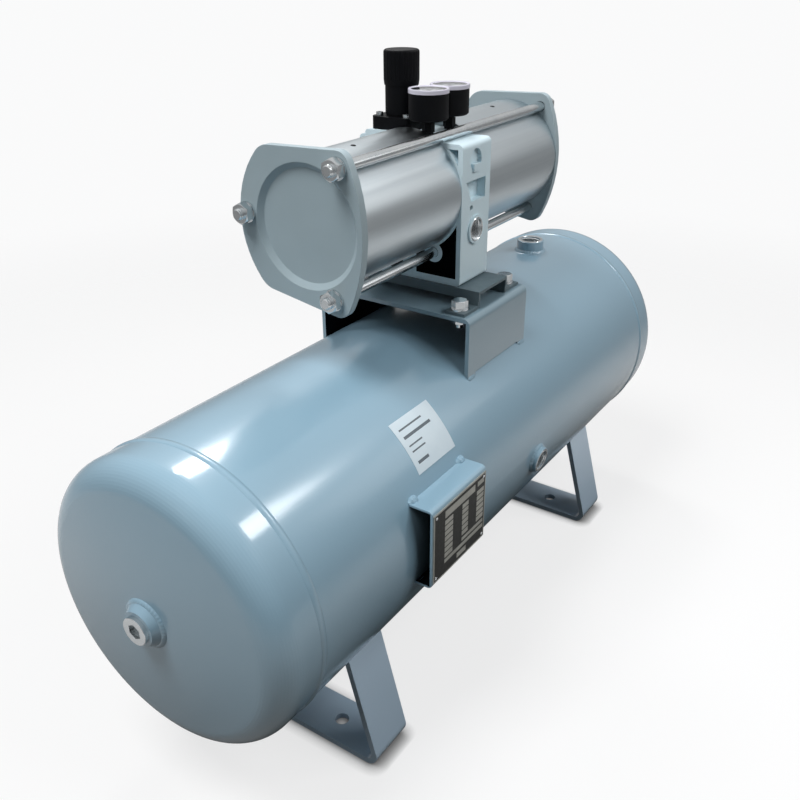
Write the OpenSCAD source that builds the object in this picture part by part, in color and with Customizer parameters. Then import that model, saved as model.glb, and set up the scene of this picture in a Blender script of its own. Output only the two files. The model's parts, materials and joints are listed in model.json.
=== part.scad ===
// Air pressure booster standing on its storage tank.
// A welded steel tank lies along X on two bent legs. A saddle on top of the tank carries
// a twin-cylinder booster with its governor, knob and two pressure gauges.
// X runs along the tank, Y across it, Z up from the floor.

/* [Tank] */
// outside diameter of the tank shell
tank_od = 267.4; // [230:0.1:300]
// plate thickness of shell and heads
tank_wall = 4.5; // [3:0.1:7]
// straight shell length between the two head seams
shell_length = 676; // [560:1:820]
// straight skirt of each pressed head
head_skirt = 25; // [10:1:32]
// depth of each dome beyond its skirt
head_depth = 34; // [32:1:52]
// knuckle radius between dome and skirt
knuckle_radius = 26.5; // [16:0.5:29]
// height of the tank axis above the floor
axis_height = 213; // [190:1:250]

/* [Bosses and plugs] */
// outside radius of an end boss at its root
end_boss_root = 21; // [18.5:0.1:24]
// outside radius of an end boss at its face
end_boss_face = 15.8; // [15.5:0.1:18.4]
// length of an end boss outside the head
end_boss_length = 8.5; // [3:0.5:12]
// radius of the screwed end plugs
end_plug_radius = 12.7; // [8:0.1:13.5]
// length of an end plug outside its boss
end_plug_stand = 4; // [1:0.5:8]
// width across flats of the hex socket in a plug
plug_socket = 12; // [6:0.5:13]
// outside radius of the open socket on top of the tank
top_boss_radius = 16.7; // [15:0.1:22]
// thread radius of the open socket on top of the tank
top_port_radius = 12.1; // [8:0.1:13]
// height of the top socket above the shell
top_boss_rise = 13.3; // [8:0.1:25]
// distance of the top socket from the rear head seam
top_boss_inset = 76; // [48:1:118]
// outside radius of the low socket on the near side
side_boss_radius = 14.5; // [12.5:0.1:17]
// thread radius of the low socket on the near side
side_port_radius = 10.4; // [5:0.1:11]
// distance of the low socket from the tank centre
side_boss_x = 34; // [-60:1:120]
// angle of the low socket below the horizontal
side_boss_tilt = 8; // [0:1:25]
// length of the low socket outside the shell
side_boss_length = 6; // [4:0.5:20]
// radius of the drain plug under the tank
drain_radius = 8.5; // [5:0.1:10]

/* [Legs] */
// distance of a leg's centre from the nearest head seam
leg_inset = 99; // [60:1:140]
// width of the leg bar
leg_width = 50; // [30:1:70]
// thickness of the leg bar
leg_thick = 6; // [4:0.5:10]
// half length of the foot strip
foot_half = 130; // [115:1:150]
// half distance between the arms where they reach the tank
arm_half = 97; // [85:1:105]
// diameter of the foot holes
foot_hole = 14; // [8:0.5:18]
// distance between the two holes of a foot
foot_hole_spacing = 132; // [80:1:180]
// outside radius of the leg bends
leg_bend = 13; // [11:0.5:20]

/* [Saddle bracket] */
// length of the saddle along the tank
saddle_length = 120; // [114:1:160]
// half width over the saddle legs
saddle_half = 90.5; // [88.5:0.5:110]
// thickness of the saddle plate
saddle_thick = 4.5; // [4:0.5:6]
// height of the saddle top above the shell
saddle_rise = 27.3; // [22:0.1:50]
// outside radius of the saddle bends
saddle_bend = 7; // [6.5:0.5:10]
// length of the drainage gap under the near saddle leg
saddle_gap_length = 90; // [40:1:100]
// height of the drainage gap under the near saddle leg
saddle_gap = 2.5; // [1:0.1:5]

/* [Plate holder and label] */
// width of the nameplate holder
holder_width = 93; // [80:1:120]
// height of the nameplate holder
holder_height = 82; // [70:1:100]
// distance of the holder's lower edge below the tank axis
holder_drop = 30; // [20:1:45]
// distance of the holder's face beyond the shell
holder_stand = 14.3; // [8:0.1:36]
// sheet thickness of the holder
holder_thick = 2.5; // [1.5:0.1:4]
// distance of the holder's centre from the front head seam
holder_inset = 179; // [158:1:198]
// thickness of the nameplate
nameplate_thick = 0.8; // [0.5:0.1:2]
// margin of the nameplate inside the holder's ends
nameplate_margin = 1.5; // [1:0.5:10]
// length of the label along the tank
label_length = 61; // [40:1:80]
// shift of the label along the tank from the holder's centre
label_shift = 11; // [-10:1:25]
// angle of the label's lower edge above the horizontal
label_low = 29; // [26:1:36]
// angle of the label's upper edge above the horizontal
label_high = 51; // [46:1:56]
// thickness of the label
label_thick = 0.3; // [0.2:0.1:0.5]

/* [Mounting channel] */
// distance of the booster from the tank centre along X
booster_shift = 10; // [-20:1:30]
// width of the channel along X
channel_width = 58; // [56:1:64]
// length of the channel across the tank
channel_length = 165; // [150:1:172]
// sheet thickness of the channel
channel_thick = 3; // [2:0.1:4]
// height of the channel top above the saddle
channel_height = 17.5; // [16:0.5:24]
// depth of the channel's side lips
channel_lip = 10; // [7:0.5:12]
// width of a channel foot
channel_foot = 22; // [20:1:24]
// distance of the housing screws from the booster's centre along the tank
fix_x = 7; // [6:0.5:8]
// distance of the housing screws from the cylinder axis across the tank
fix_y = 46; // [42:1:48]
// radius of the housing screws
fix_radius = 4; // [3:0.5:4]
// length of the housing screws inside the housing
fix_reach = 12; // [8:0.5:14]
// half distance between the channel bolts along X
bolt_half_x = 46; // [42:0.5:47]
// half distance between the channel bolts across the tank
bolt_half_y = 71; // [66:0.5:71]
// shank radius of the channel bolts
bolt_radius = 4; // [3:0.1:4.5]
// width across flats of the channel bolt heads
bolt_flats = 14; // [12:0.5:16]
// height of the channel bolt heads
bolt_head = 8; // [5:0.5:10]

/* [Centre housing] */
// width of the housing along X
housing_width = 54; // [52:1:60]
// half depth of the housing across the tank
housing_half = 59; // [57:0.5:60]
// height of the cylinder axis above the channel
axis_rise = 89; // [84:1:100]
// height of the housing shoulder above the cylinder axis
shoulder_rise = 48; // [46:0.5:48.5]
// height of the governor platform above the cylinder axis
platform_rise = 52.5; // [50:0.5:54]
// depth of the side pockets
pocket_depth = 14; // [8:0.5:14]
// thread radius of the supply ports
port_radius = 10.5; // [6:0.1:11]
// depth of the supply ports
port_depth = 18; // [12:1:20]
// height of the supply ports below the cylinder axis
port_drop = 36.5; // [34:0.5:40]

/* [Cylinders] */
// bore radius of the cylinder tubes
bore_radius = 50; // [48:0.1:50.5]
// wall thickness of the cylinder tubes
tube_wall = 8.8; // [7:0.1:8.9]
// length of a cylinder tube
tube_length = 151; // [144:1:158]
// thickness of an end plate
plate_thick = 8; // [7:0.5:12]
// height of an end plate's upper edge above the cylinder axis
plate_top = 66.5; // [65:0.5:70]
// drop of an end plate's lower edge below the cylinder axis
plate_low = 69; // [67:0.5:74]
// reach of an end plate's near side from the cylinder axis
plate_near = 59.5; // [59.5:0.5:64]
// reach of an end plate's far side from the cylinder axis
plate_far = 73.5; // [72.5:0.5:78]
// radius of an end plate's near side
near_round = 149; // [120:1:200]
// radius of an end plate's far side
far_round = 87; // [80:1:110]
// radius of the dished recess in an end plate
dish_radius = 54.5; // [48:0.5:54.5]
// depth of the dished recess in an end plate
dish_depth = 4.5; // [2:0.1:6]
// pitch radius of the tie rods
rod_pitch = 65; // [64.5:0.1:67]
// radius of the tie rods
tie_radius = 5; // [4:0.1:5.2]
// turn of the tie rod pattern about the cylinder axis
pattern_turn = 4; // [3:0.5:5]
// depth of the spigots that centre the tubes
spigot = 8; // [6:0.5:9]

/* [Pistons] */
// thickness of a piston
piston_thick = 24; // [20:0.5:25]
// radius of the piston rod
piston_rod_radius = 10; // [8.5:0.1:11]
// thickness of a piston nut
piston_nut = 8; // [6:0.5:9]
// width across flats of a piston nut
piston_nut_flats = 24; // [20:1:26]
// radius of the valve spool
spool_radius = 6.4; // [5:0.1:7]

/* [Governor and gauges] */
// side of the square governor base
governor_side = 44; // [42:0.5:46]
// height of the governor base
governor_height = 12; // [9:0.5:14]
// distance of the governor axis behind the cylinder axis
governor_y = 27; // [25:0.5:29]
// radius of the governor bonnet
bonnet_radius = 15.9; // [15:0.1:16.5]
// height of the bonnet's visible neck
neck_height = 27; // [26:0.5:32]
// outside radius of the knob
knob_radius = 17.3; // [17.1:0.1:20]
// height of the knob
knob_height = 32; // [30:0.5:40]
// number of grip flutes round the knob
knob_flutes = 24; // [12:1:30]
// depth of a grip flute
flute_depth = 0.4; // [0.2:0.05:0.5]
// radius of the gauge cases
gauge_radius = 18.8; // [16:0.1:18.9]
// height of the gauge cases
gauge_height = 28; // [20:0.5:30]
// height of the gauge cases above the governor platform
gauge_lift = 13.5; // [12:0.5:20]
// half distance between the two gauge axes
gauge_half = 19; // [19:0.1:20]
// distance of the gauge axes in front of the cylinder axis
gauge_y = 16; // [15:0.5:17]

/* [Clearances] */
// radial clearance of sliding and turning fits
run_gap = 0.05; // [0.03:0.01:0.08]
// free clearance between parts that pass each other
free_gap = 0.4; // [0.3:0.05:0.5]
// radial clearance of the tie rod holes
rod_hole_gap = 0.25; // [0.1:0.05:0.4]

/* [Hidden] */
$fn = 72;
over = 1;
tank_r = tank_od / 2;
half_shell = shell_length / 2;
crown_radius = (pow(tank_r - knuckle_radius, 2) + pow(head_depth, 2) - pow(knuckle_radius, 2))
    / (2 * (head_depth - knuckle_radius));
knuckle_sweep = atan((crown_radius - head_depth) / (tank_r - knuckle_radius));
head_apex = half_shell + head_skirt + head_depth;
end_bore = end_plug_radius + run_gap;
end_neck = end_plug_radius + 3;
boss_seat = head_apex - pow(end_neck, 2) / (2 * crown_radius);
boss_end = boss_seat + end_boss_length;
plug_end = boss_end + end_plug_stand;
plug_length = 22;
top_boss_z = axis_height + tank_r + top_boss_rise;
boss_inside = 10;
drain_out = 12;
drain_head = 7;
tank_top = axis_height + tank_r;
top_boss_x = half_shell - top_boss_inset;
leg_x = half_shell - leg_inset;
holder_x = holder_inset - half_shell;
holder_base = axis_height - holder_drop;
holder_reach = tank_r + holder_stand;
label_x = holder_x + label_shift;
saddle_top = tank_top + saddle_rise;
channel_top = saddle_top + channel_height;
cyl_z = channel_top + axis_rise;
shoulder_z = cyl_z + shoulder_rise;
platform_z = cyl_z + platform_rise;
bolt_hole = bolt_radius + rod_hole_gap;
channel_nut = 6.5;
fix_head_radius = 1.6 * fix_radius;
fix_head = 1.1 * fix_radius;
fix_key = 1.25 * fix_radius;
window_left = 19.5;
window_right = 18;
window_depth = 9;
window_low = 8;
window_high = 12;
ramp_start = 13;
ramp_tilt = 28;
ramp_length = 45;
ramp_depth = 32;
detail_x = -2;
arch_radius = 10.5;
arch_depth = 4;
arch_low = 28.5;
arch_spring = 31;
lug_half = 6;
lug_stand = 2;
lug_low = 20.5;
lug_high = 27.5;
half_housing = housing_width / 2;
tube_r = bore_radius + tube_wall;
spigot_r = bore_radius - 0.1;
plate_in = half_housing + tube_length;
plate_out = plate_in + plate_thick;
nut_flats = 17;
nut_height = 8;
washer_height = 2;
rod_tip = 1;
rod_end = plate_out + washer_height + nut_height + 4;
rod_angles = [60 - pattern_turn, -60 - pattern_turn, 180 - pattern_turn];
chamber_in = half_housing + spigot;
chamber_out = plate_in - spigot;
piston_mid = (chamber_in + chamber_out) / 2;
piston_in = piston_mid - piston_thick / 2;
piston_out = piston_mid + piston_thick / 2;
piston_r = bore_radius - 0.2;
rod_tip_radius = piston_rod_radius - 2;
groove_depth = 4;
bush_r = piston_rod_radius + 4;
valve_z = cyl_z - 34;
valve_bore = spool_radius + run_gap;
sleeve_r = 9;
sleeve_half = 30;
push_radius = 2.5;
push_end = chamber_in + 2;
check_y = 34;
check_r = 8;
check_seat = half_housing - 8;
retainer_in = chamber_in - 2.6;
governor_top = platform_z + governor_height;
diaphragm_thick = 1.2;
bonnet_low = governor_top + diaphragm_thick;
neck_top = governor_top + neck_height;
bonnet_top = neck_top + 7;
bonnet_inner = 12.5;
platform_margin = 3;
gauge_stem_hex = 10.5;
screw_half = governor_side / 2 - 6.6;
screw_radius = 4;
seat_low = governor_top + 21;
spring_low = bonnet_low + 3.2;
knob_low = neck_top + 1;
flute_radius = 1.3;
knob_top = knob_low + knob_height;
gauge_low = platform_z + gauge_lift;
gauge_top = gauge_low + gauge_height;
gauge_wall = 1.6;
gauge_edge = 1.5;
rim_height = 1.6;
rim_inner = gauge_radius - gauge_wall - 0.4;
dial_z = gauge_top - 3.4;

steel_paint = [0.60, 0.68, 0.74];
cast_paint = [0.55, 0.61, 0.64];
bare_steel = [0.72, 0.73, 0.75];
bare_alloy = [0.82, 0.83, 0.85];
black_resin = [0.06, 0.06, 0.07];
dark_rubber = [0.10, 0.10, 0.10];
white_face = [0.93, 0.93, 0.92];
yellow_brass = [0.75, 0.62, 0.32];

function unit(v) = v / norm(v);
function arc(o, r, a0, a1, n) =
    [for (i = [0 : n]) o + r * [cos(a0 + (a1 - a0) * i / n), sin(a0 + (a1 - a0) * i / n)]];
function corner(a, b, c, r, n) =
    let (u = unit(a - b), w = unit(c - b), half = acos(u * w) / 2)
    let (o = b + unit(u + w) * r / sin(half), s = b + u * r / tan(half) - o, e = b + w * r / tan(half) - o)
    let (a0 = atan2(s[1], s[0]), turn = (atan2(e[1], e[0]) - a0 + 540) % 360 - 180)
    arc(o, r, a0, a0 + turn, n);
function rounded(p, r, n = 6) =
    let (k = len(p))
    [for (i = [0 : k - 1])
        each r[i] > 0 ? corner(p[(i + k - 1) % k], p[i], p[(i + 1) % k], r[i], n) : [p[i]]];
function meet(rise, slope, mid, r, side) =
    let (a = 1 + slope * slope, b = rise * slope - mid, c = mid * mid + rise * rise - r * r,
        n = (-b + side * sqrt(b * b - a * c)) / a)
    [n, rise + slope * n];
function side_arc(mid, r, from, to, n) =
    let (a = atan2(from[1], from[0] - mid), b = atan2(to[1], to[0] - mid), turn = b > a ? b - a - 360 : b - a)
    [for (i = [1 : n - 1]) let (t = a + turn * i / n) [mid + r * cos(t), r * sin(t)]];
function rod_y(a) = -rod_pitch * cos(a);
function rod_z(a) = cyl_z + rod_pitch * sin(a);
function hex_r(flats) = flats / 2 / cos(30);

module along_x(x0, x1) {
    translate([x0, 0, 0])
        rotate([90, 0, 90])
            linear_extrude(x1 - x0)
                children();
}

module x_cyl(r, x0, x1, y = 0, z = 0) {
    translate([x0, y, z])
        rotate([0, 90, 0])
            cylinder(r = r, h = x1 - x0);
}

module x_ring(r1, r0, x0, x1, y = 0, z = 0) {
    difference() {
        x_cyl(r1, x0, x1, y, z);
        x_cyl(r0, x0 - over, x1 + over, y, z);
    }
}

module z_cyl(r, z0, z1, x = 0, y = 0) {
    translate([x, y, z0])
        cylinder(r = r, h = z1 - z0);
}

module z_ring(r1, r0, z0, z1, x = 0, y = 0) {
    difference() {
        z_cyl(r1, z0, z1, x, y);
        z_cyl(r0, z0 - over, z1 + over, x, y);
    }
}

module x_hex(flats, x0, x1, y, z) {
    translate([x0, y, z])
        rotate([0, 90, 0])
            cylinder(r = hex_r(flats), h = x1 - x0, $fn = 6);
}

module z_hex(flats, z0, z1, x, y) {
    translate([x, y, z0])
        cylinder(r = hex_r(flats), h = z1 - z0, $fn = 6);
}

module nut_blank(flats, h, low_chamfer = true, high_chamfer = true) {
    face = 0.48 * flats;
    far = hex_r(flats) + over;
    rise = (far - face) * tan(30);
    low = low_chamfer ? [[face, 0], [far, rise]] : [[far, 0]];
    high = high_chamfer ? [[far, h - rise], [face, h]] : [[far, h]];
    intersection() {
        cylinder(r = hex_r(flats), h = h, $fn = 6);
        rotate_extrude()
            polygon(concat([[0, 0]], low, high, [[0, h]]));
    }
}

module x_nut(flats, x0, x1, y, z) {
    translate([x0, y, z])
        rotate([0, 90, 0])
            nut_blank(flats, x1 - x0);
}

module x_stud(r, x0, x1, tip, y, z) {
    profile = [[0, x0], [r - tip, x0], [r, x0 + tip], [r, x1 - tip], [r - tip, x1], [0, x1]];
    translate([0, y, z])
        rotate([0, 90, 0])
            rotate_extrude()
                polygon(profile);
}

module block(x0, x1, y0, y1, z0, z1) {
    translate([x0, y0, z0])
        cube([x1 - x0, y1 - y0, z1 - z0]);
}

module both_ends() {
    children();
    mirror([1, 0, 0])
        children();
}

module at_booster() {
    translate([booster_shift, 0, 0])
        children();
}

module coil(r, wire, low, high, turns, n, m) {
    k = turns * n;
    rise = high - low - 2 * wire;
    points = [for (i = [0 : k]) for (j = [0 : m - 1])
        let (a = 360 * i / n, q = r + wire * cos(360 * j / m))
        [q * cos(a), q * sin(a), low + wire + rise * i / k + wire * sin(360 * j / m)]];
    sides = [for (i = [0 : k - 1]) for (j = [0 : m - 1])
        let (a = i * m + j, b = i * m + (j + 1) % m)
        each [[a, b, b + m], [a, b + m, a + m]]];
    first = [for (j = [m - 1 : -1 : 0]) j];
    last = [for (j = [0 : m - 1]) k * m + j];
    polyhedron(points = points, faces = concat(sides, [first, last]), convexity = 8);
}

module side_socket(r, from, to) {
    translate([side_boss_x, 0, axis_height])
        rotate([90 + side_boss_tilt, 0, 0])
            translate([0, 0, from])
                cylinder(r = r, h = to - from);
}

module tank_shell() {
    color(steel_paint)
    difference() {
        x_ring(tank_r, tank_r - tank_wall, -half_shell, half_shell, 0, axis_height);
        z_cyl(top_boss_radius, axis_height, top_boss_z, top_boss_x, 0);
        side_socket(side_boss_radius, tank_r / 2, tank_r + over);
        z_cyl(drain_radius + 4, axis_height - tank_r - over, axis_height, 0, 0);
    }
}

module head() {
    outer = concat(
        [[tank_r, 0]],
        arc([tank_r - knuckle_radius, head_skirt], knuckle_radius, 0, knuckle_sweep, 14),
        [for (i = [1 : 10]) let (a = knuckle_sweep + (90 - knuckle_sweep) * i / 10)
            [crown_radius * cos(a), head_skirt + head_depth - crown_radius + crown_radius * sin(a)]]);
    inner = concat(
        [for (i = [10 : -1 : 1]) let (a = knuckle_sweep + (90 - knuckle_sweep) * i / 10)
            [(crown_radius - tank_wall) * cos(a),
                head_skirt + head_depth - crown_radius + (crown_radius - tank_wall) * sin(a)]],
        arc([tank_r - knuckle_radius, head_skirt], knuckle_radius - tank_wall, knuckle_sweep, 0, 14),
        [[tank_r - tank_wall, 0]]);
    translate([half_shell, 0, axis_height])
        rotate([0, 90, 0])
            difference() {
                rotate_extrude()
                    polygon(concat(outer, inner));
                translate([0, 0, head_skirt])
                    cylinder(r = end_neck, h = 2 * head_depth);
            }
}

module front_head() {
    color(steel_paint)
    mirror([1, 0, 0])
        head();
}

module rear_head() {
    color(steel_paint)
    head();
}

module end_bosses() {
    color(steel_paint)
    both_ends()
        difference() {
            union() {
                translate([boss_seat, 0, axis_height])
                    rotate([0, 90, 0])
                        cylinder(r1 = end_boss_root, r2 = end_boss_face, h = end_boss_length);
                x_cyl(end_neck, head_apex - boss_inside, boss_seat + over, 0, axis_height);
            }
            x_cyl(end_bore, head_apex - boss_inside - over, boss_end + over, 0, axis_height);
        }
}

module end_plugs() {
    color(bare_steel)
    both_ends()
        difference() {
            x_cyl(end_plug_radius, plug_end - plug_length, plug_end, 0, axis_height);
            x_hex(plug_socket, plug_end - 9, plug_end + over, 0, axis_height);
        }
}

module top_boss() {
    color(steel_paint)
    z_ring(top_boss_radius, top_port_radius, tank_top - boss_inside, top_boss_z, top_boss_x, 0);
}

module side_boss() {
    color(steel_paint)
    difference() {
        side_socket(side_boss_radius, tank_r - boss_inside, tank_r + side_boss_length);
        side_socket(side_port_radius, tank_r - boss_inside - over, tank_r + side_boss_length + over);
    }
}

module drain_boss() {
    color(steel_paint)
    z_ring(drain_radius + 4, drain_radius + run_gap,
        axis_height - tank_r - drain_out, axis_height - tank_r + boss_inside);
}

module drain_plug() {
    color(bare_steel)
    union() {
        z_cyl(drain_radius, axis_height - tank_r - drain_out, axis_height - tank_r + 4);
        translate([0, 0, axis_height - tank_r - drain_out - drain_head])
            nut_blank(2 * drain_radius, drain_head, true, false);
    }
}

module leg(x) {
    arm_z = axis_height - sqrt(pow(tank_r, 2) - pow(arm_half, 2));
    lean = (foot_half - arm_half) / arm_z;
    top_z = arm_z + 30;
    side = leg_thick * sqrt(1 + lean * lean);
    foot_in = foot_half - side - lean * leg_thick;
    top_half = foot_half - lean * top_z;
    outer = [[-top_half, top_z], [-foot_half, 0], [foot_half, 0], [top_half, top_z]];
    inner = [[foot_half - side - lean * top_z, top_z], [foot_in, leg_thick], [-foot_in, leg_thick],
        [-foot_half + side + lean * top_z, top_z]];
    in_bend = leg_bend - leg_thick;
    color(steel_paint)
    difference() {
        along_x(x - leg_width / 2, x + leg_width / 2)
            polygon(rounded(concat(outer, inner), [0, leg_bend, leg_bend, 0, 0, in_bend, in_bend, 0], 8));
        x_cyl(tank_r, x - leg_width, x + leg_width, 0, axis_height);
        for (s = [-1, 1])
            z_cyl(foot_hole / 2, -over, leg_thick + over, x, s * foot_hole_spacing / 2);
    }
}

module front_leg() {
    leg(-leg_x);
}

module rear_leg() {
    leg(leg_x);
}

module saddle_bracket() {
    in_half = saddle_half - saddle_thick;
    in_top = saddle_top - saddle_thick;
    in_bend = saddle_bend - saddle_thick;
    low = axis_height + tank_r / 2;
    profile = [[-saddle_half, low], [-saddle_half, saddle_top], [saddle_half, saddle_top], [saddle_half, low],
        [in_half, low], [in_half, in_top], [-in_half, in_top], [-in_half, low]];
    bends = [0, saddle_bend, saddle_bend, 0, 0, in_bend, in_bend, 0];
    color(steel_paint)
    at_booster()
        difference() {
            along_x(-saddle_length / 2, saddle_length / 2)
                polygon(rounded(profile, bends, 8));
            x_cyl(tank_r, -saddle_length, saddle_length, 0, axis_height);
            intersection() {
                x_cyl(tank_r + saddle_gap, -saddle_gap_length / 2, saddle_gap_length / 2, 0, axis_height);
                block(-saddle_length, saddle_length, -tank_r, 0, axis_height, saddle_top);
            }
            for (sx = [-1, 1], sy = [-1, 1])
                z_cyl(bolt_hole, in_top - over, saddle_top + over, sx * bolt_half_x, sy * bolt_half_y);
        }
}

module plate_holder() {
    top = holder_base + holder_height;
    back = -tank_r / 2;
    face = -holder_reach;
    t = holder_thick;
    profile = [[back, holder_base], [face, holder_base], [face, top], [back, top],
        [back, top - t], [face + t, top - t], [face + t, holder_base + t], [back, holder_base + t]];
    color(steel_paint)
    difference() {
        along_x(holder_x - holder_width / 2, holder_x + holder_width / 2)
            polygon(rounded(profile, [0, 2 * t, 2 * t, 0, 0, t, t, 0], 5));
        x_cyl(tank_r, holder_x - holder_width, holder_x + holder_width, 0, axis_height);
    }
}

module nameplate() {
    half = holder_width / 2 - nameplate_margin;
    low = holder_base + 2 * holder_thick;
    high = holder_base + holder_height - 2 * holder_thick;
    color(bare_alloy)
    block(holder_x - half, holder_x + half, -holder_reach - nameplate_thick, -holder_reach, low, high);
}

module label() {
    low_edge = tank_od * [-cos(label_low), sin(label_low)];
    high_edge = tank_od * [-cos(label_high), sin(label_high)];
    color(white_face)
    intersection() {
        x_ring(tank_r + label_thick, tank_r,
            label_x - label_length / 2, label_x + label_length / 2, 0, axis_height);
        along_x(label_x - label_length, label_x + label_length)
            translate([0, axis_height])
                polygon([[0, 0], low_edge, high_edge]);
    }
}

module mounting_channel() {
    half_w = channel_width / 2;
    half_l = channel_length / 2;
    t = channel_thick;
    tab = bolt_half_x + 10;
    color(cast_paint)
    at_booster()
        difference() {
            union() {
                block(-half_w, half_w, -half_l, half_l, channel_top - t, channel_top);
                both_ends()
                    block(half_w - t, half_w, -half_l, half_l,
                        channel_top - channel_lip, channel_top - t / 2);
                both_ends()
                    for (s = [-1, 1]) {
                        y = s * bolt_half_y - channel_foot / 2;
                        block(half_w - t, half_w, y, y + channel_foot, saddle_top, channel_top - t / 2);
                        block(half_w - t, tab, y, y + channel_foot, saddle_top, saddle_top + t);
                    }
            }
            for (sx = [-1, 1], sy = [-1, 1]) {
                z_cyl(bolt_hole, saddle_top - over, saddle_top + t + over,
                    sx * bolt_half_x, sy * bolt_half_y);
                z_cyl(fix_radius + rod_hole_gap, channel_top - t - over, channel_top + over,
                    sx * fix_x, sy * fix_y);
            }
        }
}

module at_bolts() {
    at_booster()
        for (sx = [-1, 1], sy = [-1, 1])
            translate([sx * bolt_half_x, sy * bolt_half_y, 0])
                children();
}

module channel_bolts() {
    base = saddle_top + channel_thick + washer_height;
    color(bare_steel)
    at_bolts()
        union() {
            translate([0, 0, base])
                nut_blank(bolt_flats, bolt_head, false);
            z_cyl(bolt_radius, saddle_top - saddle_thick - channel_nut - 4, base + over);
        }
}

module channel_washers() {
    base = saddle_top + channel_thick;
    color(bare_steel)
    at_bolts()
        z_ring(9, bolt_hole, base, base + washer_height);
}

module channel_nuts() {
    top = saddle_top - saddle_thick;
    color(bare_steel)
    at_bolts()
        difference() {
            translate([0, 0, top - channel_nut])
                nut_blank(bolt_flats - 1, channel_nut);
            z_cyl(bolt_radius + run_gap, top - channel_nut - over, top + over);
        }
}

module housing_screws() {
    seat = channel_top - channel_thick;
    color(bare_steel)
    at_booster()
        for (sx = [-1, 1], sy = [-1, 1])
            translate([sx * fix_x, sy * fix_y, 0])
                difference() {
                    union() {
                        z_cyl(fix_head_radius, seat - fix_head, seat);
                        z_cyl(fix_radius, seat - over, channel_top + fix_reach);
                    }
                    z_hex(fix_key, seat - fix_head - over, seat - fix_head / 2, 0, 0);
                }
}

module side_pockets() {
    y_wall = housing_half - 5;
    clear = tube_r + 2;
    for (s = [-1, 1])
        difference() {
            union() {
                translate([s < 0 ? -y_wall : 34, cyl_z + 16])
                    square([y_wall - 34, shoulder_rise - 21]);
                translate([s < 0 ? -y_wall : 8, channel_top + 7])
                    square([y_wall - 8, axis_rise - 25]);
            }
            translate([0, cyl_z])
                circle(r = clear);
            translate([rod_y(rod_angles[1]), rod_z(rod_angles[1])])
                circle(r = tie_radius + 5);
        }
}

module window(face) {
    intersection() {
        block(-window_left, window_right, face - over, face + window_depth,
            cyl_z - window_low, cyl_z + window_high);
        translate([-ramp_start, face, cyl_z])
            rotate([0, -ramp_tilt, 0])
                translate([0, 0, -ramp_length])
                    linear_extrude(2 * ramp_length)
                        polygon([[0, -lug_stand], [ramp_length, -lug_stand], [ramp_length, ramp_depth], [0, 0]]);
    }
}

module centre_housing() {
    low_rod = rod_angles[1];
    bed = channel_top;
    back = governor_y + governor_side / 2 + platform_margin;
    front = -gauge_y - gauge_stem_hex - platform_margin;
    outline = [[-housing_half, bed], [housing_half, bed], [housing_half, shoulder_z], [back, shoulder_z],
        [back, platform_z], [front, platform_z], [front, shoulder_z], [-housing_half, shoulder_z]];
    face = -housing_half;
    color(cast_paint)
    at_booster()
        difference() {
            union() {
                difference() {
                    along_x(-half_housing, half_housing)
                        polygon(rounded(outline, [4, 4, 5, 0, 3, 3, 0, 5], 5));
                    both_ends()
                        along_x(half_housing - pocket_depth, half_housing + over)
                            side_pockets();
                    window(face);
                    block(detail_x - arch_radius, detail_x + arch_radius, face - over, face + arch_depth,
                        cyl_z + arch_low, cyl_z + arch_spring);
                    translate([detail_x, face + arch_depth, cyl_z + arch_spring])
                        rotate([90, 0, 0])
                            cylinder(r = arch_radius, h = arch_depth + over);
                }
                x_cyl(spigot_r, -chamber_in, chamber_in, 0, cyl_z);
                block(detail_x - lug_half, detail_x + lug_half, face - lug_stand, face + lug_stand,
                    cyl_z + lug_low, cyl_z + lug_high);
                for (s = [-1, 1])
                    translate([0, s * (housing_half - 4), cyl_z - port_drop])
                        rotate([-s * 90, 0, 0])
                            cylinder(r = port_radius + 3.5, h = 6);
            }
            both_ends()
                difference() {
                    x_cyl(spigot_r + over, half_housing + 2.2, half_housing + 5.8, 0, cyl_z);
                    x_cyl(bore_radius - 3.4, half_housing, chamber_in, 0, cyl_z);
                }
            x_cyl(bush_r, -chamber_in - over, chamber_in + over, 0, cyl_z);
            x_cyl(sleeve_r + run_gap, -chamber_in - over, chamber_in + over, 0, valve_z);
            x_cyl(tie_radius + rod_hole_gap, -chamber_in, chamber_in, rod_y(low_rod), rod_z(low_rod));
            both_ends()
                for (s = [-1, 1]) {
                    x_cyl(check_r + run_gap, check_seat, chamber_in + over, s * check_y, cyl_z);
                    x_cyl(4.5, 6, check_seat + over, s * check_y, cyl_z);
                }
            for (s = [-1, 1])
                translate([0, s * (housing_half + 3), cyl_z - port_drop])
                    rotate([s * 90, 0, 0]) {
                        cylinder(r = port_radius, h = port_depth + 3);
                        cylinder(r = 4, h = housing_half - 6);
                    }
            translate([-8, face + 12, cyl_z - 14])
                rotate([90, 0, 0])
                    cylinder(r = 2.6, h = 20);
            z_cyl(8, cyl_z + 22, platform_z + over, 0, governor_y);
            for (s = [-1, 1])
                z_cyl(5 + run_gap, platform_z - 12, platform_z + over, s * gauge_half, -gauge_y);
            for (sx = [-1, 1], sy = [-1, 1]) {
                z_cyl(fix_radius + run_gap, bed - over, bed + fix_reach + 2, sx * fix_x, sy * fix_y);
                z_cyl(2 + run_gap, platform_z - 8, platform_z + over,
                    sx * screw_half, governor_y + sy * screw_half);
            }
        }
}

module tube() {
    x_ring(tube_r, bore_radius, half_housing, plate_in, 0, cyl_z);
}

module left_tube() {
    color(bare_alloy)
    at_booster()
        mirror([1, 0, 0])
            tube();
}

module right_tube() {
    color(bare_alloy)
    at_booster()
        tube();
}

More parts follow.
